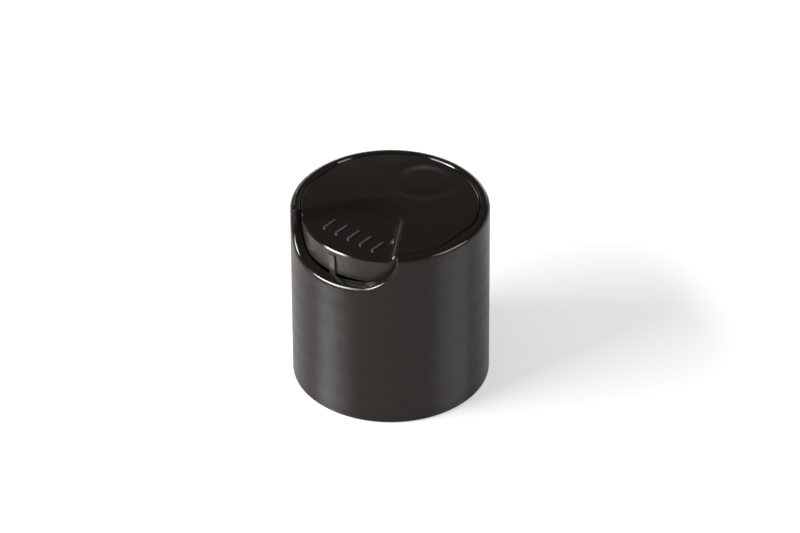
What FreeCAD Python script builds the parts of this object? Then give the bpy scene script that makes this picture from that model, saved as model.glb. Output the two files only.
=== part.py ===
"""Disc top cap for a 24-410 bottle neck, in millimetres.

Two polypropylene mouldings. The cap body is a smooth skirt that screws on the neck. It carries a
deck with a spout seat, and above the deck a round well with a thumb notch in its wall. The rocker
disc fills the well, flush with the rim, and turns on two trunnions. Pressing the thumb recess tips
its other side up, so that the nozzle clears the rim and the inlet meets the hole in the seat.

The origin is on the cap's axis at the foot of the skirt, +Z is up, the thumb side is -Y, the
nozzle points to +Y and the trunnions lie along X.
"""

import FreeCAD, Part
import math
import os
import re
import sys

import Sketcher

SIZES = [
    ("cap_height", 26.9, "foot of the skirt to the rim"),
    ("cap_diameter", 27.0, "outside of the skirt at the rim"),
    ("wall_draft", 0.15, "degrees that the outer wall widens downwards"),
    ("rim_round", 0.6, "outer edge of the rim and of the notch"),
    ("rim_break", 0.12, "inner edge of the rim"),
    ("foot_break", 0.2, "outer edge of the foot"),
    ("rim_wall", 1.3, "wall of the round well that holds the disc, at the rim"),
    ("well_depth", 10.4, "rim down to the deck, the well's floor"),
    ("deck_thickness", 1.1, "deck between the well and the neck"),
    ("thread_wall", 1.3, "wall outside the root of the neck thread"),
    ("shoulder_depth", 2.0, "plain bore between the thread and the deck"),
    ("shoulder_step", 0.5, "how much narrower the plain bore is, in radius"),
    ("mouth_chamfer", 0.3, "lead-in at the foot of the bore"),
    ("plug_radius", 8.3, "plug that seals inside the neck, at its root"),
    ("plug_wall", 1.0, "wall of the plug"),
    ("plug_length", 1.9, "plug below the deck"),
    ("plug_taper", 0.3, "how much the plug narrows to its foot"),
    ("seat_radius", 2.6, "spout seat that stands on the deck"),
    ("seat_bore", 1.1, "radius of the hole through the seat"),
    ("seal_gap", 0.08, "drum of the disc to the saddle of the seat"),
    ("notch_half_width", 9.0, "half the width of the thumb notch, at the outer wall"),
    ("notch_depth", 5.5, "rim down to the outer edge of the notch's floor"),
    ("notch_draft", 20.0, "degrees that the sides and floor of the notch open outwards"),
    ("notch_corner", 5.1, "lower corners of the notch"),
    ("stop_offset", 6.8, "middle plane to the middle of a stop rib"),
    ("stop_width", 1.2, "width of a stop rib"),
    ("stop_reach", 1.2, "how far a stop rib stands into the well"),
    ("stop_gap", 0.05, "top of the stop ribs to the disc"),
    ("disc_gap", 0.15, "disc to the well, all round"),
    ("flat_depth", 0.4, "how far the flat sides of the disc stand in from its round"),
    ("disc_break", 0.15, "upper edge of the disc"),
    ("hinge_drop", 1.7, "rim down to the hinge axis"),
    ("open_angle", 26.0, "degrees that the disc tips"),
    ("trunnion_radius", 1.0, "radius of a trunnion"),
    ("trunnion_length", 0.65, "trunnion beyond the flat side"),
    ("pivot_gap", 0.06, "trunnion to its socket, in radius"),
    ("plate_thickness", 1.4, "top plate of the disc"),
    ("flange_height", 2.85, "rim of the disc, top to bottom"),
    ("skirt_step", 0.12, "how far the thumb-side wall stands back from the flange"),
    ("skirt_height", 4.7, "top of the disc to the foot of its thumb-side wall"),
    ("skirt_wall", 1.0, "wall under the plate of the disc"),
    ("skirt_end", 4.0, "middle plane to the ends of the thumb-side wall"),
    ("drum_radius", 6.2, "sealing drum round the hinge axis"),
    ("drum_width", 6.4, "length of the drum along the hinge axis"),
    ("nozzle_bore", 1.5, "radius of the outlet channel"),
    ("nozzle_wall", 1.1, "wall of the outlet tube"),
    ("nozzle_drop", 1.6, "hinge axis down to the middle of the outlet"),
    ("nozzle_gap", 0.14, "swept face of the nozzle to the well"),
    ("inlet_bore", 1.1, "radius of the inlet through the drum"),
    ("inlet_start", 2.0, "hinge axis to the inner end of the inlet"),
    ("block_radius", 3.7, "round boss that stiffens the outlet"),
    ("block_offset", 7.3, "hinge axis to the middle of that boss"),
    ("block_height", 3.6, "boss below the top plate"),
    ("web_thickness", 0.9, "stiffening webs under the plate"),
    ("web_depth", 2.6, "webs below the top plate"),
    ("cross_web_depth", 1.6, "cross web under the trunnions, below the top plate"),
    ("recess_depth", 1.15, "thumb recess below the top of the disc"),
    ("recess_apex", 0.1, "how far the recess passes the hinge axis"),
    ("recess_radius", 4.7, "round end of the recess"),
    ("recess_spread", 32.0, "degrees that each side of the recess turns outwards"),
    ("recess_slope", 30.0, "degrees that the side of the recess leans outwards"),
    ("recess_cove", 1.25, "round between the side and the floor of the recess"),
    ("recess_lip", 0.9, "round between the top of the disc and the side of the recess"),
    ("recess_wall", 1.1, "wall under the floor of the recess"),
    ("bar_count", 5, "grip bars on the floor of the recess"),
    ("bar_pitch", 2.1, "spacing of the bars"),
    ("bar_length", 2.3, "length of a bar"),
    ("bar_width", 0.35, "width of a bar"),
    ("bar_height", 0.22, "height of a bar"),
    ("bar_offset", 7.7, "hinge axis to the middle of the bars"),
    ("rib_width", 1.0, "rib on the thumb-side wall"),
    ("rib_start", 1.8, "top of the disc to the upper end of the rib"),
    ("rib_foot", 5.3, "top of the disc to the foot of the rib"),
    ("rib_proud", 0.3, "rib in front of the flange at its upper end"),
    ("rib_tail", 0.05, "rib in front of the flange at its foot"),
]
NAMES = re.compile(r"\b(" + "|".join(name for name, _, _ in SIZES) + r")\b")

WELL_RADIUS = "(cap_diameter / 2 - rim_wall)"
THREAD_RADIUS = "(cap_diameter / 2 - thread_wall)"
SHOULDER_RADIUS = f"({THREAD_RADIUS} - shoulder_step)"
DISC_RADIUS = f"({WELL_RADIUS} - disc_gap)"
DISC_FLAT = f"({DISC_RADIUS} - flat_depth)"
SKIRT_RADIUS = f"({DISC_RADIUS} - skirt_step)"
HINGE_HEIGHT = "(cap_height - hinge_drop)"
PLATE_UNDERSIDE = "(cap_height - plate_thickness)"
DECK_HEIGHT = "(cap_height - well_depth)"
DECK_UNDERSIDE = f"({DECK_HEIGHT} - deck_thickness)"
THREAD_END = f"({DECK_UNDERSIDE} - shoulder_depth)"
RECESS_FLOOR = "(cap_height - recess_depth)"
NOZZLE_HEIGHT = "(cap_height - hinge_drop - nozzle_drop)"
OVERLAP = "0.1"

doc = FreeCAD.newDocument("disc_top_cap")
sheet = doc.addObject("Spreadsheet::Sheet", "sizes")
for row, (name, number, note) in enumerate(SIZES, start=1):
    sheet.set(f"A{row}", name)
    sheet.set(f"B{row}", str(number))
    sheet.setAlias(f"B{row}", name)
    sheet.set(f"C{row}", note)
doc.recompute()


def in_sheet(formula):
    """The formula with each size named as a cell of the sheet."""
    return NAMES.sub(r"sizes.\1", formula)


def value(formula):
    return float(sheet.evalExpression(in_sheet(formula)))


def bind(target, path, formula):
    target.setExpression(path, in_sheet(formula))


def new_body(name):
    body = doc.addObject("PartDesign::Body", name)
    body.Label = name
    return body


def new_sketch(body, name, role, height="0"):
    """A sketch on one of the body's own planes, raised along the plane's Z axis by a height."""
    sketch = body.newObject("Sketcher::SketchObject", name)
    plane = next(item for item in body.Origin.OriginFeatures if item.Role == role)
    sketch.AttachmentSupport = (plane, [""])
    sketch.MapMode = "FlatFace"
    bind(sketch, "AttachmentOffset.Base.z", height)
    return sketch


def pin(sketch, geometry, end, across, up):
    """Fix one point of a sketch at two formulas, measured from the sketch's origin."""
    for kind, formula in (("DistanceX", across), ("DistanceY", up)):
        if formula is not None:
            number = value(formula)
            index = sketch.addConstraint(Sketcher.Constraint(kind, -1, 1, geometry, end, number))
            bind(sketch, f"Constraints[{index}]", formula)


def dimension(sketch, kind, geometry, formula):
    number = value(formula)
    number = math.radians(number) if kind == "Angle" else number
    index = sketch.addConstraint(Sketcher.Constraint(kind, geometry, number))
    bind(sketch, f"Constraints[{index}]", formula)


def draw_circle(sketch, across, up, radius):
    centre = FreeCAD.Vector(value(across), value(up), 0)
    shape = Part.Circle(centre, FreeCAD.Vector(0, 0, 1), value(radius))
    circle = sketch.addGeometry(shape, False)
    pin(sketch, circle, 3, across, up)
    dimension(sketch, "Radius", circle, radius)


def draw_outline(sketch, corners, arcs=None):
    """A closed outline through the corners, anticlockwise. A side named in arcs is round about
    that centre. Its end is pinned only along the arc, because the radius already sets the rest."""
    arcs = arcs or {}
    points = [FreeCAD.Vector(value(x), value(y), 0) for x, y in corners]
    sides = []
    free = {}
    for side, start in enumerate(points):
        following = (side + 1) % len(points)
        stop = points[following]
        if side in arcs:
            x, y = arcs[side]
            centre = FreeCAD.Vector(value(x), value(y), 0)
            begin = math.atan2(start.y - centre.y, start.x - centre.x)
            end = math.atan2(stop.y - centre.y, stop.x - centre.x)
            circle = Part.Circle(centre, FreeCAD.Vector(0, 0, 1), (start - centre).Length)
            shape = Part.ArcOfCircle(circle, begin, end if end > begin else end + 2 * math.pi)
            free[following] = "up" if abs(math.sin(end)) > abs(math.cos(end)) else "across"
        else:
            shape = Part.LineSegment(start, stop)
        sides.append(sketch.addGeometry(shape, False))
    for side, geometry in enumerate(sides):
        following = sides[(side + 1) % len(sides)]
        sketch.addConstraint(Sketcher.Constraint("Coincident", geometry, 2, following, 1))
        x, y = corners[side]
        loose = free.get(side)
        pin(sketch, geometry, 1, None if loose == "across" else x, None if loose == "up" else y)
        if side in arcs:
            pin(sketch, geometry, 3, *arcs[side])


def draw_rectangle(sketch, left, right, low, high):
    draw_outline(sketch, [(left, low), (right, low), (right, high), (left, high)])


def draw_flatted_circle(sketch, radius, flat):
    """A circle about the origin with a flat on each side, the plan of the disc and of its well."""
    rise = f"sqrt(({radius})^2 - ({flat})^2)"
    corners = [(flat, rise), (f"-({flat})", rise), (f"-({flat})", f"-{rise}"), (flat, f"-{rise}")]
    draw_outline(sketch, corners, {0: ("0", "0"), 2: ("0", "0")})


def draw_thumb_recess(sketch, spare, reach):
    """The plan of the thumb recess: a round end past the hinge axis, two straight sides that turn
    outwards, and an arc about the cap's axis at the thumb side. It is larger by spare all round."""
    end_radius = f"(recess_radius + {spare})"
    end_centre = "(recess_apex - recess_radius)"
    spread = math.radians(value("recess_spread"))
    radius = value(end_radius)
    middle = value(end_centre)
    limit = value(reach)
    touch = FreeCAD.Vector(radius * math.cos(spread), middle + radius * math.sin(spread), 0)
    side = FreeCAD.Vector(math.sin(spread), -math.cos(spread), 0)
    along = touch.dot(side)
    far = touch + side * (math.sqrt(along**2 - touch.dot(touch) + limit**2) - along)
    mirror = FreeCAD.Vector(-1, 1, 1)
    touch_left = FreeCAD.Vector(touch.x * mirror.x, touch.y, 0)
    far_left = FreeCAD.Vector(far.x * mirror.x, far.y, 0)
    up = FreeCAD.Vector(0, 0, 1)
    end_circle = Part.Circle(FreeCAD.Vector(0, middle, 0), up, radius)
    round_end = sketch.addGeometry(Part.ArcOfCircle(end_circle, spread, math.pi - spread), False)
    left = sketch.addGeometry(Part.LineSegment(touch_left, far_left), False)
    begin = math.atan2(far_left.y, far_left.x)
    end = math.atan2(far.y, far.x)
    far_circle = Part.Circle(FreeCAD.Vector(0, 0, 0), up, limit)
    front = sketch.addGeometry(Part.ArcOfCircle(far_circle, begin, end), False)
    right = sketch.addGeometry(Part.LineSegment(far, touch), False)
    pin(sketch, round_end, 3, "0", end_centre)
    pin(sketch, front, 3, "0", "0")
    dimension(sketch, "Radius", round_end, end_radius)
    dimension(sketch, "Radius", front, reach)
    sketch.addConstraint(Sketcher.Constraint("Tangent", round_end, 2, left, 1))
    sketch.addConstraint(Sketcher.Constraint("Coincident", left, 2, front, 1))
    sketch.addConstraint(Sketcher.Constraint("Coincident", front, 2, right, 1))
    sketch.addConstraint(Sketcher.Constraint("Tangent", right, 2, round_end, 1))
    dimension(sketch, "Angle", left, "-90 - recess_spread")
    dimension(sketch, "Angle", right, "90 + recess_spread")


def extrude(body, kind, name, sketch, length=None, reverse=False, both_ways=False):
    """A pad or pocket of a sketch. With no length it runs through everything."""
    feature = body.newObject(f"PartDesign::{kind}", name)
    feature.Profile = sketch
    feature.Reversed = reverse
    if both_ways:
        feature.SideType = "Symmetric"
    if length is None:
        feature.Type = "ThroughAll"
    else:
        bind(feature, "Length", length)
    return feature


def edges_where(feature, test):
    """Names of the edges whose inner points all pass a test."""
    doc.recompute()
    names = []
    for number, edge in enumerate(feature.Shape.Edges, start=1):
        first, last = edge.ParameterRange
        points = [edge.valueAt(first + (last - first) * step / 6) for step in range(1, 6)]
        if all(test(point) for point in points):
            names.append(f"Edge{number}")
    return names


def dress(body, kind, name, size, test):
    """A fillet or chamfer on the edges of the body's last feature that pass the test."""
    base = body.Tip
    names = edges_where(base, test)
    if not names:
        sys.exit(f"{name}: no edge found")
    feature = body.newObject(f"PartDesign::{kind}", name)
    feature.Base = (base, names)
    bind(feature, "Radius" if kind == "Fillet" else "Size", size)
    return feature


def near(number, formula, tolerance=0.02):
    return abs(number - value(formula)) < tolerance


def radius_of(point):
    return math.hypot(point.x, point.y)


def on_outer_wall(point):
    """Whether a point lies on the drafted outer wall of the cap."""
    drop = value("cap_height") - point.z
    wall = value("cap_diameter / 2") + drop * math.tan(math.radians(value("wall_draft")))
    return abs(radius_of(point) - wall) < 0.01


def build_skirt(body):
    """Outer wall, deck, neck bore and plug, as one turned section that is solid above the deck."""
    sketch = new_sketch(body, "skirt_section", "XZ_Plane")
    plug_foot = f"{DECK_UNDERSIDE} - plug_length"
    foot_radius = "cap_diameter / 2 + cap_height * tan(wall_draft)"
    corners = [
        ("0", DECK_UNDERSIDE),
        ("plug_radius - plug_wall", DECK_UNDERSIDE),
        ("plug_radius - plug_wall", plug_foot),
        ("plug_radius - plug_taper", plug_foot),
        ("plug_radius", DECK_UNDERSIDE),
        (SHOULDER_RADIUS, DECK_UNDERSIDE),
        (SHOULDER_RADIUS, THREAD_END),
        (THREAD_RADIUS, THREAD_END),
        (THREAD_RADIUS, "mouth_chamfer"),
        (f"{THREAD_RADIUS} + mouth_chamfer", "0"),
        (foot_radius, "0"),
        ("cap_diameter / 2", "cap_height"),
        ("0", "cap_height"),
    ]
    draw_outline(sketch, corners)
    turned = body.newObject("PartDesign::Revolution", "skirt")
    turned.Profile = sketch
    turned.ReferenceAxis = (sketch, ["V_Axis"])
    turned.Angle = 360

    def at_foot(point):
        return near(point.z, "0") and near(radius_of(point), foot_radius)

    dress(body, "Chamfer", "foot_edge", "foot_break", at_foot)


def build_well(body):
    """Well with the flats that face the sides of the disc, and the trunnion sockets in them."""
    flat = f"{DISC_FLAT} + disc_gap"
    plan = new_sketch(body, "well_plan", "XY_Plane", "cap_height")
    draw_flatted_circle(plan, WELL_RADIUS, flat)
    extrude(body, "Pocket", "well", plan, "well_depth")

    def at_mouth(point):
        return near(point.z, "cap_height") and radius_of(point) < value(WELL_RADIUS) + 0.01

    dress(body, "Chamfer", "well_mouth", "rim_break", at_mouth)
    sockets = new_sketch(body, "socket_circle", "YZ_Plane")
    draw_circle(sockets, "0", HINGE_HEIGHT, "trunnion_radius + pivot_gap")
    span = f"2 * ({DISC_FLAT} + trunnion_length + disc_gap)"
    extrude(body, "Pocket", "sockets", sockets, span, both_ways=True)


def build_seat(body):
    """Spout seat on the deck. Its top is a saddle that the drum of the disc slides over."""
    plan = new_sketch(body, "seat_circle", "XY_Plane", f"{DECK_HEIGHT} - {OVERLAP}")
    draw_circle(plan, "0", "0", "seat_radius")
    extrude(body, "Pad", "seat", plan, f"{HINGE_HEIGHT} - drum_radius / 2 - {DECK_HEIGHT}")
    saddle = new_sketch(body, "saddle_circle", "YZ_Plane")
    draw_circle(saddle, "0", HINGE_HEIGHT, "drum_radius + seal_gap")
    extrude(body, "Pocket", "saddle", saddle, "2 * seat_radius + 1", both_ways=True)
    hole = new_sketch(body, "seat_hole", "XY_Plane")
    draw_circle(hole, "0", "0", "seat_bore")
    extrude(body, "Pocket", "seat_bore_cut", hole, "cap_height", reverse=True)


def build_stop_ribs(body):
    """Two ribs up the nozzle side of the well that hold the closed disc level."""
    plan = new_sketch(body, "stop_plan", "XY_Plane", f"{DECK_HEIGHT} - {OVERLAP}")
    near_side = "stop_offset - stop_width / 2"
    far_side = "stop_offset + stop_width / 2"
    wall = f"sqrt({WELL_RADIUS}^2 - stop_offset^2)"
    root = f"sqrt(({WELL_RADIUS} + 2 * {OVERLAP})^2 - ({near_side})^2) + {OVERLAP}"
    draw_rectangle(plan, near_side, far_side, f"{wall} - stop_reach", root)
    top = "cap_height - flange_height - stop_gap"
    rib = extrude(body, "Pad", "stop_rib", plan, f"{top} - {DECK_HEIGHT} + {OVERLAP}")
    mirror = body.newObject("PartDesign::Mirrored", "stop_ribs")
    mirror.Originals = [rib]
    mirror.MirrorPlane = (plan, ["V_Axis"])
    body.Tip = mirror


def build_notch(body):
    """Thumb notch in the wall of the well. Its sides and floor narrow inwards, its lower corners
    are round, and its outer edge is a rounded lip that runs on round the rim."""
    stand_off = "1"
    plane = f"cap_diameter / 2 + {stand_off}"
    view = new_sketch(body, "notch_view", "XZ_Plane", plane)
    widening = f"{stand_off} * tan(notch_draft)"
    at_edge = "sqrt((cap_diameter / 2)^2 - notch_half_width^2)"
    side = f"(notch_half_width + ({plane} - {at_edge}) * tan(notch_draft))"
    floor = f"(cap_height - notch_depth - {widening})"
    corner = f"(notch_corner + {widening})"
    inner = f"({side} - {corner})"
    bend = f"({floor} + {corner})"
    top = "cap_height + notch_depth"
    corners = [
        (f"-{side}", top),
        (f"-{side}", bend),
        (f"-{inner}", floor),
        (inner, floor),
        (side, bend),
        (side, top),
    ]
    draw_outline(view, corners, {1: (f"-{inner}", bend), 3: (inner, bend)})
    reach = f"{plane} - sqrt({WELL_RADIUS}^2 - notch_half_width^2) + {stand_off}"
    notch = extrude(body, "Pocket", "notch", view, reach)
    bind(notch, "TaperAngle", "-notch_draft")

    def on_lip(point):
        return on_outer_wall(point) and point.z > value(floor)

    dress(body, "Fillet", "rim_and_lip", "rim_round", on_lip)


def build_cap_body():
    body = new_body("cap_body")
    build_skirt(body)
    build_well(body)
    build_seat(body)
    build_stop_ribs(body)
    build_notch(body)
    return body


def build_disc_shell(body):
    """Top plate and flange of the disc, and the deeper wall on the thumb side."""
    plate = new_sketch(body, "plate_plan", "XY_Plane", "cap_height")
    draw_flatted_circle(plate, DISC_RADIUS, DISC_FLAT)
    extrude(body, "Pad", "plate", plate, "flange_height", reverse=True)
    dress(body, "Chamfer", "plate_edge", "disc_break", lambda point: near(point.z, "cap_height"))
    skirt = new_sketch(body, "thumb_wall_plan", "XY_Plane", "cap_height - skirt_height")
    draw_flatted_circle(skirt, SKIRT_RADIUS, f"{DISC_FLAT} - skirt_step")
    extrude(body, "Pad", "thumb_wall", skirt, f"skirt_height - flange_height + {OVERLAP}")
    hollow = new_sketch(body, "hollow_plan", "XY_Plane", "cap_height - skirt_height")
    flat = f"{DISC_FLAT} - skirt_step - skirt_wall"
    draw_flatted_circle(hollow, f"{SKIRT_RADIUS} - skirt_wall", flat)
    extrude(body, "Pocket", "hollow", hollow, "skirt_height - plate_thickness", reverse=True)
    rear = new_sketch(body, "rear_plan", "XY_Plane", "cap_height - skirt_height")
    draw_rectangle(rear, f"-{WELL_RADIUS}", WELL_RADIUS, "-skirt_end", WELL_RADIUS)
    extrude(body, "Pocket", "rear_relief", rear, "skirt_height - flange_height", reverse=True)


def build_drum_and_nozzle(body):
    """Sealing drum round the hinge axis, the outlet tube and the round boss that stiffens it."""
    drum = new_sketch(body, "drum_section", "YZ_Plane")
    chord = f"{PLATE_UNDERSIDE} + {OVERLAP}"
    half = f"sqrt(drum_radius^2 - (hinge_drop - plate_thickness + {OVERLAP})^2)"
    corners = [(f"-{half}", chord), (half, chord)]
    draw_outline(drum, corners, {0: ("0", HINGE_HEIGHT)})
    extrude(body, "Pad", "drum", drum, "drum_width", both_ways=True)
    tube = new_sketch(body, "tube_circle", "XZ_Plane")
    draw_circle(tube, "0", NOZZLE_HEIGHT, "nozzle_bore + nozzle_wall")
    extrude(body, "Pad", "outlet_tube", tube, DISC_RADIUS, reverse=True)
    boss = new_sketch(body, "boss_circle", "XY_Plane", f"{PLATE_UNDERSIDE} + {OVERLAP}")
    draw_circle(boss, "0", "block_offset", "block_radius")
    extrude(body, "Pad", "outlet_boss", boss, f"block_height + {OVERLAP}", reverse=True)
    ring = new_sketch(body, "tube_trim_ring", "XY_Plane", "cap_height")
    draw_circle(ring, "0", "0", DISC_RADIUS)
    draw_circle(ring, "0", "0", "cap_diameter")
    extrude(body, "Pocket", "tube_trim", ring, "well_depth")


def build_nozzle_face(body):
    """End of the outlet tube, part of a ball about the hinge axis so that it sweeps up the well."""
    section = new_sketch(body, "nozzle_face_section", "XY_Plane", HINGE_HEIGHT)
    reach = f"({WELL_RADIUS} - nozzle_gap)"
    half = f"(nozzle_bore + nozzle_wall + {OVERLAP})"
    rise = f"sqrt({reach}^2 - {half}^2)"
    far = "cap_diameter"
    corners = [(half, rise), (f"-{half}", rise), (f"-{half}", far), (half, far)]
    draw_outline(section, corners, {0: ("0", "0")})
    face = body.newObject("PartDesign::Groove", "nozzle_face")
    face.Profile = section
    face.ReferenceAxis = (section, ["H_Axis"])
    face.Angle = 90
    face.Reversed = True


def build_webs(body):
    """Webs under the plate: two that carry the thumb side, and one across under the trunnions."""
    plan = new_sketch(body, "web_plan", "XY_Plane", f"{PLATE_UNDERSIDE} + {OVERLAP}")
    outer = "drum_width / 2"
    inner = "drum_width / 2 - web_thickness"
    front = f"-({SKIRT_RADIUS} - skirt_wall / 2) * 0.95"
    back = "-drum_radius * 0.8"
    draw_rectangle(plan, inner, outer, front, back)
    draw_rectangle(plan, f"-({outer})", f"-({inner})", front, back)
    extrude(body, "Pad", "thumb_webs", plan, f"web_depth + {OVERLAP}", reverse=True)
    cross = new_sketch(body, "cross_web_plan", "XY_Plane", f"{PLATE_UNDERSIDE} + {OVERLAP}")
    side = f"({DISC_FLAT} - skirt_wall / 2)"
    draw_rectangle(cross, f"-{side}", side, "-web_thickness / 2", "web_thickness / 2")
    extrude(body, "Pad", "cross_web", cross, f"cross_web_depth + {OVERLAP}", reverse=True)


def build_trunnions(body):
    """Round bar under the plate, whose ends stand out of the flat sides as the trunnions."""
    circle = new_sketch(body, "trunnion_circle", "YZ_Plane")
    draw_circle(circle, "0", HINGE_HEIGHT, "trunnion_radius")
    span = f"2 * ({DISC_FLAT} + trunnion_length)"
    extrude(body, "Pad", "trunnions", circle, span, both_ways=True)


def build_thumb_rib(body):
    """Rib down the middle of the thumb-side wall. Its foot lands on the deck at full tilt."""
    section = new_sketch(body, "rib_section", "YZ_Plane")
    front = f"(-{DISC_RADIUS} - rib_proud)"
    tail = f"(-{DISC_RADIUS} - rib_tail)"
    back = f"(-{SKIRT_RADIUS} + skirt_wall)"
    corners = [
        (tail, "cap_height - rib_foot"),
        (back, "cap_height - rib_foot"),
        (back, "cap_height - rib_start"),
        (front, "cap_height - rib_start"),
        (tail, "cap_height - skirt_height"),
    ]
    draw_outline(section, corners)
    extrude(body, "Pad", "thumb_rib", section, "rib_width", both_ways=True)


def build_recess(body):
    """Thumb recess with sloping sides that run into its floor, and the wall that backs it."""
    backing = new_sketch(body, "backing_plan", "XY_Plane", f"{RECESS_FLOOR} - recess_wall")
    draw_thumb_recess(backing, "0", f"({SKIRT_RADIUS} - skirt_wall / 2)")
    depth = f"({PLATE_UNDERSIDE} - {RECESS_FLOOR} + recess_wall + {OVERLAP})"
    extrude(body, "Pad", "recess_backing", backing, depth)
    plan = new_sketch(body, "recess_plan", "XY_Plane", "cap_height")
    draw_thumb_recess(plan, "0", f"({DISC_RADIUS} + 1)")
    recess = extrude(body, "Pocket", "recess", plan, "recess_depth")
    bind(recess, "TaperAngle", "-recess_slope")

    def head_of_side(point):
        inside = radius_of(point) < value(f"{DISC_RADIUS} - disc_break") - 0.02
        between_flats = abs(point.x) < value(f"{DISC_FLAT} - disc_break") - 0.02
        return near(point.z, "cap_height") and inside and between_flats

    def foot_of_side(point):
        return near(point.z, RECESS_FLOOR) and radius_of(point) < value(DISC_RADIUS) - 0.01

    room = "0.95 * recess_depth / (1 - sin(recess_slope))"
    dress(body, "Fillet", "recess_lip_round", "recess_lip", head_of_side)
    dress(body, "Fillet", "recess_cove_round", f"min(recess_cove; {room} - recess_lip)", foot_of_side)

    def front_edge(point):
        return near(point.z, RECESS_FLOOR) and near(radius_of(point), DISC_RADIUS)

    dress(body, "Chamfer", "thumb_edge", "disc_break", front_edge)


def build_channel(body):
    """Outlet channel from the nozzle to the drum, and the inlet that opens through the drum."""
    outlet = new_sketch(body, "outlet_circle", "XZ_Plane")
    draw_circle(outlet, "0", NOZZLE_HEIGHT, "nozzle_bore")
    outlet.AttachmentOffset = FreeCAD.Placement(FreeCAD.Vector(0, 0, 1), FreeCAD.Rotation())
    bind(outlet, "AttachmentOffset.Base.z", "inlet_bore")
    extrude(body, "Pocket", "outlet_channel", outlet, "cap_diameter")
    inlet = new_sketch(body, "inlet_circle", "XY_Plane")
    draw_circle(inlet, "0", "0", "inlet_bore")
    tilt = FreeCAD.Rotation(FreeCAD.Vector(1, 0, 0), -value("open_angle"))
    inlet.AttachmentOffset = FreeCAD.Placement(FreeCAD.Vector(0, 0, 0), tilt)
    bind(inlet, "AttachmentOffset.Rotation.Angle", "-open_angle")
    bind(inlet, "AttachmentOffset.Base.y", "-inlet_start * sin(open_angle)")
    bind(inlet, "AttachmentOffset.Base.z", f"{HINGE_HEIGHT} - inlet_start * cos(open_angle)")
    extrude(body, "Pocket", "inlet", inlet, "drum_radius")


def build_grip_bars(body):
    """Row of raised bars across the recess, where the thumb presses."""
    first = new_sketch(body, "bar_plan", "XY_Plane", f"{RECESS_FLOOR} - {OVERLAP}")
    middle = "(-bar_pitch * (bar_count - 1) / 2)"
    left = f"{middle} - bar_width / 2"
    right = f"{middle} + bar_width / 2"
    draw_rectangle(first, left, right, "-bar_offset - bar_length / 2", "-bar_offset + bar_length / 2")
    bar = extrude(body, "Pad", "grip_bar", first, f"bar_height + {OVERLAP}")
    row = body.newObject("PartDesign::LinearPattern", "grip_bars")
    row.Originals = [bar]
    row.Direction = (first, ["H_Axis"])
    bind(row, "Length", "bar_pitch * (bar_count - 1)")
    bind(row, "Occurrences", "bar_count")
    body.Tip = row


def build_disc():
    body = new_body("rocker_disc")
    build_disc_shell(body)
    build_drum_and_nozzle(body)
    build_nozzle_face(body)
    build_webs(body)
    build_trunnions(body)
    build_thumb_rib(body)
    build_recess(body)
    build_channel(body)
    build_grip_bars(body)
    return body


def check(parts):
    """Stop before anything is written if a feature failed or a part isn't one closed solid."""
    doc.recompute()
    for item in doc.Objects:
        if {"Invalid", "Error"} & set(item.State):
            sys.exit(f"{item.Name} failed: {item.State}")
        if item.TypeId == "Sketcher::SketchObject" and not item.FullyConstrained:
            sys.exit(f"{item.Name} is not fully constrained")
    for part in parts:
        if part.Shape.isNull() or not part.Shape.isValid() or len(part.Shape.Solids) != 1:
            sys.exit(f"{part.Label} is not one valid solid")


def main():
    parts = [build_cap_body(), build_disc()]
    check(parts)
    os.makedirs("parts", exist_ok=True)
    for part in parts:
        part.Shape.exportStep(f"parts/{part.Label}.step")
        print(part.Label, round(part.Shape.Volume, 1), "mm3", len(part.Shape.Faces), "faces")


main()
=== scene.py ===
import math

import bmesh
import bpy
from mathutils import Matrix, Vector


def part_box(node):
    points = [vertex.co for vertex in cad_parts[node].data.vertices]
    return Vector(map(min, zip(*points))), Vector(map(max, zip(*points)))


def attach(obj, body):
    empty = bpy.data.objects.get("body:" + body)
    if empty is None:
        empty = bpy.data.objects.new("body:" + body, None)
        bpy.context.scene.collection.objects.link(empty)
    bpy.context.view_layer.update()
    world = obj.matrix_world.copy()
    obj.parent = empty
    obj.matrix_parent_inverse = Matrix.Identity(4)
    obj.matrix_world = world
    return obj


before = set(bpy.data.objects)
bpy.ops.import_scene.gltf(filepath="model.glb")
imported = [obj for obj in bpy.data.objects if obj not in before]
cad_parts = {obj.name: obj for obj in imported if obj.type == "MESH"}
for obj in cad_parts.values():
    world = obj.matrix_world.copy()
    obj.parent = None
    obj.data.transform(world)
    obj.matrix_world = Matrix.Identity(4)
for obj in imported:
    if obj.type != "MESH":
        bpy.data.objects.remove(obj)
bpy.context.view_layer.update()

# Cap body
# One injection moulding in black polypropylene, coloured in the melt. The outer wall was moulded
# against finely blasted steel and is satin. The rim, the lip of the thumb notch and all the inside
# were moulded against polished steel and are glossy. It screws on the bottle neck.
# Lengths inside the materials are in millimetres.
MM = 0.001
POLYPROPYLENE_IOR = 1.49
CAP_SHINE = 0.3
RIM_BLACK = "#1b1712"
GLOSS_ROUGHNESS = 0.1
WALL_BLACK = "#1f1812"
SATIN_START = 13.34
SATIN_FULL = 13.46
SATIN_ROUGHNESS = 0.31
SATIN_SPREAD = 0.03
FLOW_WAVE_WIDTH = 6.0
FLOW_WAVE_DEPTH = 0.004
THREAD_SINK_SPACING = 3.5
THREAD_SINK_HEIGHT = 14.0
THREAD_SINK_DEPTH = 0.011
NOISE_MEAN = 0.5
BLAST_GRAIN = 0.16
BLAST_GRAIN_DEPTH = 0.0007


def linear(hex_colour):
    """An sRGB hex colour as the linear RGBA that the shader sockets take."""
    channels = [int(hex_colour[i : i + 2], 16) / 255 for i in (1, 3, 5)]
    return [c / 12.92 if c <= 0.04045 else ((c + 0.055) / 1.055) ** 2.4 for c in channels] + [1.0]


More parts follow.
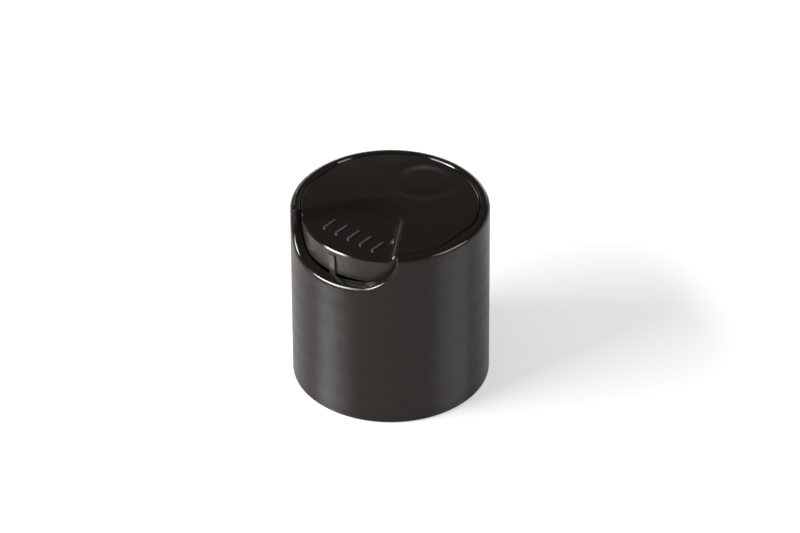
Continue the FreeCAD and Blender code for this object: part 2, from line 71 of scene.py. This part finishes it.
def add_node(tree, kind, settings=None, sockets=None):
    """Adds a shader node. A socket is given as a value, or as the output that is linked to it."""
    made = tree.nodes.new("ShaderNode" + kind)
    for name, setting in (settings or {}).items():
        setattr(made, name, setting)
    for name, source in (sockets or {}).items():
        if isinstance(source, bpy.types.NodeSocket):
            tree.links.new(source, made.inputs[name])
        else:
            made.inputs[name].default_value = source
    return made


def new_plastic(name, hex_colour, roughness, shine):
    """A plain moulded plastic: the material, its node tree and its shader."""
    material = bpy.data.materials.new(name)
    material.use_nodes = True
    shader = material.node_tree.nodes["Principled BSDF"]
    shader.inputs["Base Color"].default_value = linear(hex_colour)
    shader.inputs["Roughness"].default_value = roughness
    shader.inputs["IOR"].default_value = POLYPROPYLENE_IOR
    shader.inputs["Specular IOR Level"].default_value = shine
    return material, material.node_tree, shader


def paint(name, material):
    """Gives a CAD piece its finish."""
    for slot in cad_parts[name].material_slots:
        slot.material = material


# The satin wall blurs the lamps into soft upright bands of light. The glossy rim mirrors them as
# thin, sharp lines.
cap_plastic, tree, shader = new_plastic(
    "moulded_satin_black_polypropylene", WALL_BLACK, SATIN_ROUGHNESS, CAP_SHINE
)
place = add_node(tree, "TexCoord").outputs["Object"]
in_mm = add_node(tree, "VectorMath", {"operation": "SCALE"}, {0: place, "Scale": 1 / MM}).outputs[0]
height = add_node(tree, "SeparateXYZ", sockets={0: in_mm}).outputs["Z"]
across = add_node(tree, "VectorMath", {"operation": "MULTIPLY"}, {0: in_mm, 1: (1, 1, 0)}).outputs[0]
from_axis = add_node(tree, "VectorMath", {"operation": "LENGTH"}, {0: across}).outputs["Value"]
satin = add_node(
    tree,
    "MapRange",
    {"interpolation_type": "SMOOTHSTEP"},
    {"Value": from_axis, "From Min": SATIN_START, "From Max": SATIN_FULL},
).outputs["Result"]

# The blasted wall is a shade lighter and browner than the polished faces, and scatters light a
# little unevenly.
black = add_node(
    tree,
    "Mix",
    {"data_type": "RGBA"},
    {"Factor": satin, "A": linear(RIM_BLACK), "B": linear(WALL_BLACK)},
).outputs["Result"]
tree.links.new(black, shader.inputs["Base Color"])
patches = add_node(
    tree, "TexNoise", sockets={"Vector": in_mm, "Scale": 1 / FLOW_WAVE_WIDTH, "Detail": 2}
).outputs[0]
uneven_satin = add_node(
    tree,
    "MapRange",
    sockets={
        "Value": patches,
        "To Min": SATIN_ROUGHNESS - SATIN_SPREAD,
        "To Max": SATIN_ROUGHNESS + SATIN_SPREAD,
    },
).outputs["Result"]
roughness = add_node(
    tree, "Mix", sockets={"Factor": satin, "A": GLOSS_ROUGHNESS, "B": uneven_satin}
).outputs["Result"]
tree.links.new(roughness, shader.inputs["Roughness"])

# The wall has sunk a few microns in soft, patchy bands where the thread thickens it, and the melt
# left slow waves. The blasted grain is really about 0.05 mm across, and is drawn coarser to show.
bands_per_mm = 2 * math.pi / THREAD_SINK_SPACING
band_phase = add_node(
    tree,
    "Math",
    {"operation": "MULTIPLY_ADD"},
    {0: height, 1: bands_per_mm, 2: -bands_per_mm * THREAD_SINK_HEIGHT},
).outputs[0]
band = add_node(tree, "Math", {"operation": "COSINE"}, {0: band_phase}).outputs[0]
patchy_band = add_node(tree, "Math", {"operation": "MULTIPLY"}, {0: band, 1: patches}).outputs[0]
sunk_bands = add_node(
    tree, "Math", {"operation": "MULTIPLY"}, {0: patchy_band, 1: THREAD_SINK_DEPTH / NOISE_MEAN}
).outputs[0]
flow = add_node(
    tree, "Math", {"operation": "MULTIPLY_ADD"}, {0: patches, 1: FLOW_WAVE_DEPTH, 2: sunk_bands}
).outputs[0]
grain = add_node(
    tree, "TexNoise", sockets={"Vector": in_mm, "Scale": 1 / BLAST_GRAIN, "Detail": 1}
).outputs[0]
wall = add_node(
    tree, "Math", {"operation": "MULTIPLY_ADD"}, {0: grain, 1: BLAST_GRAIN_DEPTH, 2: flow}
).outputs[0]
relief = add_node(tree, "Math", {"operation": "MULTIPLY"}, {0: wall, 1: satin}).outputs[0]
bump = add_node(tree, "Bump", sockets={"Height": relief, "Distance": MM}).outputs[0]
tree.links.new(bump, shader.inputs["Normal"])
paint("cap_body", cap_plastic)

# Rocker disc
# The second moulding, in the same black polypropylene, snapped into the well on its two trunnions.
# It was moulded against polished steel, and only its side wall against turned steel.
DISC_SHINE = 0.32
DISC_BLACK = "#1a1612"
DISC_ROUGHNESS = 0.12
# The grey below is painted light: a painted reflection on the side wall and a painted highlight on the bar
# tops.
PAINTED_SHEEN_GREY = "#312c27"
MATT_ROUGHNESS = 0.32
TOP_MARGIN = 0.05
BOSS_CENTRE = (0, 7.3, 0)
BOSS_RADIUS = 3.8
BOSS_SINK_WIDTH = 1.5
BOSS_SINK_DEPTH = 0.025
DISC_WAVE_WIDTH = 7.0
DISC_WAVE_DEPTH = 0.03
CROWN = 0.1
CROWN_REACH = 12.0
UPWARD_START = 0.2
UPWARD_FULL = 0.35
RECESS_DEPTH = 1.15
FLANK_EASE = 0.57
SIDE_START = 11.3
STREAK_HEIGHT = 0.2
STREAK_LENGTH = 4.0
STREAK_DEPTH = 0.004
BAR_HEIGHT = 0.22
BAR_MARGIN = 0.06
BAR_LEVEL = 0.98

# The polished top is a black mirror that swims a little. It is slightly crowned, has slow waves,
# and has sunk in a faint ring over the round boss that stiffens the outlet beneath.
disc_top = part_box("rocker_disc")[1][2] / MM
disc_plastic, tree, shader = new_plastic(
    "moulded_polished_black_polypropylene", DISC_BLACK, DISC_ROUGHNESS, DISC_SHINE
)
coordinates = add_node(tree, "TexCoord").outputs
in_mm = add_node(
    tree, "VectorMath", {"operation": "SCALE"}, {0: coordinates["Object"], "Scale": 1 / MM}
).outputs[0]
height = add_node(tree, "SeparateXYZ", sockets={0: in_mm}).outputs["Z"]
across = add_node(tree, "VectorMath", {"operation": "MULTIPLY"}, {0: in_mm, 1: (1, 1, 0)}).outputs[0]
from_axis = add_node(tree, "VectorMath", {"operation": "LENGTH"}, {0: across}).outputs["Value"]
from_boss = add_node(
    tree, "VectorMath", {"operation": "DISTANCE"}, {0: across, 1: BOSS_CENTRE}
).outputs["Value"]
from_ring = add_node(tree, "Math", {"operation": "SUBTRACT"}, {0: from_boss, 1: BOSS_RADIUS}).outputs[0]
off_ring = add_node(tree, "Math", {"operation": "ABSOLUTE"}, {0: from_ring}).outputs[0]
ring = add_node(
    tree,
    "MapRange",
    {"interpolation_type": "SMOOTHSTEP"},
    {"Value": off_ring, "From Max": BOSS_SINK_WIDTH, "To Min": -BOSS_SINK_DEPTH, "To Max": 0.0},
).outputs["Result"]
on_top = add_node(
    tree, "Math", {"operation": "GREATER_THAN"}, {0: height, 1: disc_top - TOP_MARGIN}
).outputs[0]
sunk_ring = add_node(tree, "Math", {"operation": "MULTIPLY"}, {0: ring, 1: on_top}).outputs[0]
waves = add_node(
    tree, "TexNoise", sockets={"Vector": in_mm, "Scale": 1 / DISC_WAVE_WIDTH, "Detail": 1}
).outputs[0]
wavy = add_node(
    tree, "Math", {"operation": "MULTIPLY_ADD"}, {0: waves, 1: DISC_WAVE_DEPTH, 2: sunk_ring}
).outputs[0]
squared = add_node(tree, "Math", {"operation": "MULTIPLY"}, {0: from_axis, 1: from_axis}).outputs[0]
crowned = add_node(
    tree, "Math", {"operation": "MULTIPLY_ADD"}, {0: squared, 1: -CROWN / CROWN_REACH**2, 2: wavy}
).outputs[0]

# The flanks of the thumb recess roll in more softly than the solid's fillets.
facing = add_node(tree, "SeparateXYZ", sockets={0: coordinates["Normal"]}).outputs["Z"]
upward = add_node(
    tree, "MapRange", sockets={"Value": facing, "From Min": UPWARD_START, "From Max": UPWARD_FULL}
).outputs["Result"]
below_top = add_node(tree, "Math", {"operation": "SUBTRACT"}, {0: disc_top, 1: height}).outputs[0]
sunk = add_node(tree, "Math", {"operation": "MINIMUM"}, {0: below_top, 1: RECESS_DEPTH}).outputs[0]
eased = add_node(tree, "Math", {"operation": "MULTIPLY"}, {0: sunk, 1: FLANK_EASE}).outputs[0]
top_relief = add_node(
    tree, "Math", {"operation": "MULTIPLY_ADD"}, {0: eased, 1: upward, 2: crowned}
).outputs[0]

# Turned steel left the side wall a duller face with fine level streaks, drawn coarser here to show.
# Its lighter grey colour, set further down, is a painted reflection of the bright board in front.
outside = add_node(tree, "Math", {"operation": "GREATER_THAN"}, {0: from_axis, 1: SIDE_START}).outputs[0]
upright = add_node(tree, "Math", {"operation": "SUBTRACT"}, {0: 1.0, 1: upward}).outputs[0]
side = add_node(tree, "Math", {"operation": "MULTIPLY"}, {0: outside, 1: upright}).outputs[0]
drawn_out = add_node(
    tree,
    "VectorMath",
    {"operation": "MULTIPLY"},
    {0: in_mm, 1: (1 / STREAK_LENGTH, 1 / STREAK_LENGTH, 1 / STREAK_HEIGHT)},
).outputs[0]
streaks = add_node(tree, "TexNoise", sockets={"Vector": drawn_out, "Scale": 1.0, "Detail": 2}).outputs[0]
side_streaks = add_node(tree, "Math", {"operation": "MULTIPLY"}, {0: streaks, 1: side}).outputs[0]
relief = add_node(
    tree, "Math", {"operation": "MULTIPLY_ADD"}, {0: side_streaks, 1: STREAK_DEPTH, 2: top_relief}
).outputs[0]
bump = add_node(tree, "Bump", sockets={"Height": relief, "Distance": MM}).outputs[0]
tree.links.new(bump, shader.inputs["Normal"])

# The tops of the five grip bars are matt, and their lighter grey colour is a painted highlight.
from_bar_top = add_node(
    tree, "Math", {"operation": "SUBTRACT"}, {0: below_top, 1: RECESS_DEPTH - BAR_HEIGHT}
).outputs[0]
off_bar_top = add_node(tree, "Math", {"operation": "ABSOLUTE"}, {0: from_bar_top}).outputs[0]
at_bar_top = add_node(tree, "Math", {"operation": "LESS_THAN"}, {0: off_bar_top, 1: BAR_MARGIN}).outputs[0]
level = add_node(tree, "Math", {"operation": "GREATER_THAN"}, {0: facing, 1: BAR_LEVEL}).outputs[0]
highlit_bar_tops = add_node(tree, "Math", {"operation": "MULTIPLY"}, {0: at_bar_top, 1: level}).outputs[0]
matt_and_painted_sheen = add_node(tree, "Math", {"operation": "MAXIMUM"}, {0: side, 1: highlit_bar_tops}).outputs[0]
roughness = add_node(
    tree, "Mix", sockets={"Factor": matt_and_painted_sheen, "A": DISC_ROUGHNESS, "B": MATT_ROUGHNESS}
).outputs["Result"]
tree.links.new(roughness, shader.inputs["Roughness"])
# The lighter grey base colour on the side wall and the bar tops is painted light: a painted reflection on the
# wall and a painted highlight on the bars.
black = add_node(
    tree,
    "Mix",
    {"data_type": "RGBA"},
    {"Factor": matt_and_painted_sheen, "A": linear(DISC_BLACK), "B": linear(PAINTED_SHEEN_GREY)},
).outputs["Result"]
tree.links.new(black, shader.inputs["Base Color"])
paint("rocker_disc", disc_plastic)

# Neck thread
# The right-handed bead inside the skirt that screws on a 24 mm bottle neck, moulded in one with
# the cap body on an unscrewing core. It runs out into the wall at both ends.
BORE_RADIUS = 12.2 * MM
BEAD_ROOT = 0.06 * MM
BEAD_HEIGHT = 1.05 * MM
BEAD_FOOT = 0.95 * MM
BEAD_CREST = 0.45 * MM
CREST_ROUND = 0.3 * MM
CREST_SEGMENTS = 3
THREAD_PITCH = 3.175 * MM
THREAD_TURNS = 2.0
THREAD_START = 2.6 * MM
STEPS_PER_TURN = 96
RUN_OUT_STEPS = 9
RUN_OUT_END = 0.05
SHARP_EDGE = math.radians(35)


def add_moulding(name, shape, body, material):
    """Makes a piece of a finished bmesh that rides on a body and is moulded in one with it."""
    bmesh.ops.recalc_face_normals(shape, faces=shape.faces[:])
    mesh = bpy.data.meshes.new(name)
    shape.to_mesh(mesh)
    shape.free()
    mesh.shade_smooth()
    mesh.set_sharp_from_angle(angle=SHARP_EDGE)
    mesh.materials.append(material)
    piece = bpy.data.objects.new(name, mesh)
    bpy.context.scene.collection.objects.link(piece)
    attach(piece, body)


bead = bmesh.new()
outer = BORE_RADIUS + BEAD_ROOT
inner = BORE_RADIUS - BEAD_HEIGHT
foot_low = bead.verts.new((outer, 0, THREAD_START - BEAD_FOOT))
foot_high = bead.verts.new((outer, 0, THREAD_START + BEAD_FOOT))
crest_high = bead.verts.new((inner, 0, THREAD_START + BEAD_CREST))
crest_low = bead.verts.new((inner, 0, THREAD_START - BEAD_CREST))
bead.faces.new((foot_low, foot_high, crest_high, crest_low))
bmesh.ops.bevel(
    bead,
    geom=[crest_high, crest_low],
    offset=CREST_ROUND,
    segments=CREST_SEGMENTS,
    profile=0.5,
    affect="VERTICES",
    material=-1,
)
section_corners = len(bead.verts)
steps = round(STEPS_PER_TURN * THREAD_TURNS)
bmesh.ops.spin(
    bead,
    geom=bead.faces[:],
    cent=(0, 0, 0),
    axis=(0, 0, 1),
    dvec=(0, 0, THREAD_PITCH / STEPS_PER_TURN),
    angle=2 * math.pi * THREAD_TURNS,
    steps=steps,
    use_duplicate=False,
    use_merge=False,
)
bead.verts.index_update()
for corner in bead.verts:
    step = corner.index // section_corners
    rise = min(1.0, RUN_OUT_END + min(step, steps - step) / RUN_OUT_STEPS)
    corner_radius = corner.co.xy.length
    corner.co.xy *= (outer - (outer - corner_radius) * rise) / corner_radius
add_moulding("neck_thread", bead, "cap", cap_plastic)

# Gate mark
# The small round pip under the deck where the melt was fed in and the runner broke off. It is part
# of the cap body.
DECK_UNDERSIDE = 15.4 * MM
GATE_PLACE = 5.2 * MM
GATE_RADIUS = 0.55 * MM
GATE_TIP_RADIUS = 0.44 * MM
GATE_DROP = 0.22 * MM
GATE_ROOT = 0.1 * MM
GATE_SIDES = 32

pip = bmesh.new()
bmesh.ops.create_cone(
    pip,
    cap_ends=True,
    segments=GATE_SIDES,
    radius1=GATE_TIP_RADIUS,
    radius2=GATE_RADIUS,
    depth=GATE_DROP + GATE_ROOT,
    matrix=Matrix.Translation((GATE_PLACE, 0, DECK_UNDERSIDE + (GATE_ROOT - GATE_DROP) / 2)),
)
add_moulding("gate_mark", pip, "cap", cap_plastic)

# Floor
# A sheet of half-gloss white board that the cap stands on. The camera sees it white, gloss mirrors
# it pale, and it keeps the cap's shadow.
FLOOR_REACH = 1.0
BOARD_GREY = "#dcdcdc"
BOARD_ROUGHNESS = 0.08
BOARD_IOR = 1.6
BOARD_GLOW = 0.49
BOARD_GLOW_IN_GLOSS = 0.24

board = bmesh.new()
bmesh.ops.create_grid(board, x_segments=1, y_segments=1, size=FLOOR_REACH)
floor_mesh = bpy.data.meshes.new("floor")
board.to_mesh(floor_mesh)
board.free()
floor = bpy.data.objects.new("floor", floor_mesh)
bpy.context.scene.collection.objects.link(floor)
white_board = bpy.data.materials.new("half_gloss_white_board")
white_board.use_nodes = True
tree = white_board.node_tree
shader = tree.nodes["Principled BSDF"]
shader.inputs["Base Color"].default_value = linear(BOARD_GREY)
shader.inputs["Roughness"].default_value = BOARD_ROUGHNESS
shader.inputs["IOR"].default_value = BOARD_IOR
shader.inputs["Emission Color"].default_value = (1, 1, 1, 1)
rays = add_node(tree, "LightPath").outputs
seen = add_node(
    tree, "Math", {"operation": "MAXIMUM"}, {0: rays["Is Camera Ray"], 1: rays["Is Transmission Ray"]}
).outputs[0]
seen_glow = add_node(tree, "Math", {"operation": "MULTIPLY"}, {0: seen, 1: BOARD_GLOW}).outputs[0]
glow = add_node(
    tree,
    "Math",
    {"operation": "MULTIPLY_ADD"},
    {0: rays["Is Glossy Ray"], 1: BOARD_GLOW_IN_GLOSS, 2: seen_glow},
).outputs[0]
tree.links.new(glow, shader.inputs["Emission Strength"])
floor_mesh.materials.append(white_board)

# Studio
# Even light from all round. The camera sees it white. Gloss mirrors a pale backdrop low down, and
# dark overhead.
AMBIENT = 0.42
BACKDROP = 0.8
OVERHEAD = 0.05
BRIGHT_BELOW = math.sin(math.radians(3))
DARK_ABOVE = math.sin(math.radians(30))

world = bpy.data.worlds.new("studio")
bpy.context.scene.world = world
world.use_nodes = True
tree = world.node_tree
background = tree.nodes["Background"]
direction = add_node(tree, "TexCoord").outputs["Generated"]
rise = add_node(tree, "SeparateXYZ", sockets={0: direction}).outputs["Z"]
mirrored = add_node(
    tree,
    "MapRange",
    {"interpolation_type": "SMOOTHSTEP"},
    {"Value": rise, "From Min": BRIGHT_BELOW, "From Max": DARK_ABOVE, "To Min": BACKDROP, "To Max": OVERHEAD},
).outputs["Result"]
rays = add_node(tree, "LightPath").outputs
lit = add_node(
    tree, "Mix", sockets={"Factor": rays["Is Glossy Ray"], "A": AMBIENT, "B": mirrored}
).outputs["Result"]
seen = add_node(
    tree, "Math", {"operation": "MAXIMUM"}, {0: rays["Is Camera Ray"], 1: rays["Is Transmission Ray"]}
).outputs[0]
strength = add_node(tree, "Mix", sockets={"Factor": seen, "A": lit, "B": 1.0}).outputs["Result"]
background.inputs["Color"].default_value = (1, 1, 1, 1)
tree.links.new(strength, background.inputs["Strength"])

# Lamps
# Flat rectangular lamps that face the cap, turned from the camera's direction. The key softbox, on
# the left, is wide and low and casts the shadow. The others show only in gloss: the softbox's
# cooler core, a reflector strip on the right, and a dim panel behind.
AZIMUTH = 39.7
LAMP_DISTANCE = 0.6
CORE_TINT = (0.9, 0.96, 1.0)


def add_lamp(name, size, power, azimuth, elevation):
    """A rectangular area lamp that faces the cap."""
    lamp_data = bpy.data.lights.new(name, "AREA")
    lamp_data.shape = "RECTANGLE"
    lamp_data.size, lamp_data.size_y = size
    lamp_data.energy = power
    lamp = bpy.data.objects.new(name, lamp_data)
    bpy.context.scene.collection.objects.link(lamp)
    around = Matrix.Rotation(math.radians(AZIMUTH + azimuth), 4, "Z")
    up = Matrix.Rotation(math.radians(90 - elevation), 4, "X")
    lamp.matrix_world = around @ up @ Matrix.Translation((0, 0, LAMP_DISTANCE))
    return lamp


add_lamp("key_softbox", size=(0.36, 0.09), power=3.6, azimuth=-71.5, elevation=39.5)
core = add_lamp("softbox_core", size=(0.2, 0.3), power=4.2, azimuth=-77, elevation=41)
core.data.color = CORE_TINT
strip = add_lamp("reflector_strip", size=(0.34, 0.3), power=3.0, azimuth=76, elevation=38)
panel = add_lamp("back_panel", size=(0.4, 0.34), power=0.9, azimuth=174, elevation=15)
for lamp in (core, strip, panel):
    lamp.visible_diffuse = False

# Camera
# It looks down on the cap from in front of the thumb side and to its right, through a long lens.
# Its angle, distance and target were fitted to the outline in the photo.
ELEVATION = 35.303
ROLL = -0.2725
DISTANCE = 572.56 * MM
TARGET = Vector((1.000, 0.830, 16.48)) * MM
SENSOR_WIDTH = 36
FOCAL_LENGTH = 189

camera_data = bpy.data.cameras.new("camera")
camera_data.sensor_width = SENSOR_WIDTH
camera_data.lens = FOCAL_LENGTH
camera = bpy.data.objects.new("camera", camera_data)
bpy.context.scene.collection.objects.link(camera)
bpy.context.scene.camera = camera
turn = Matrix.Rotation(math.radians(AZIMUTH), 4, "Z")
tilt = Matrix.Rotation(math.radians(90 - ELEVATION), 4, "X")
roll = Matrix.Rotation(math.radians(ROLL), 4, "Z")
back_off = Matrix.Translation((0, 0, DISTANCE))
camera.matrix_world = Matrix.Translation(TARGET) @ turn @ tilt @ roll @ back_off
bpy.context.scene.view_settings.view_transform = "Standard"
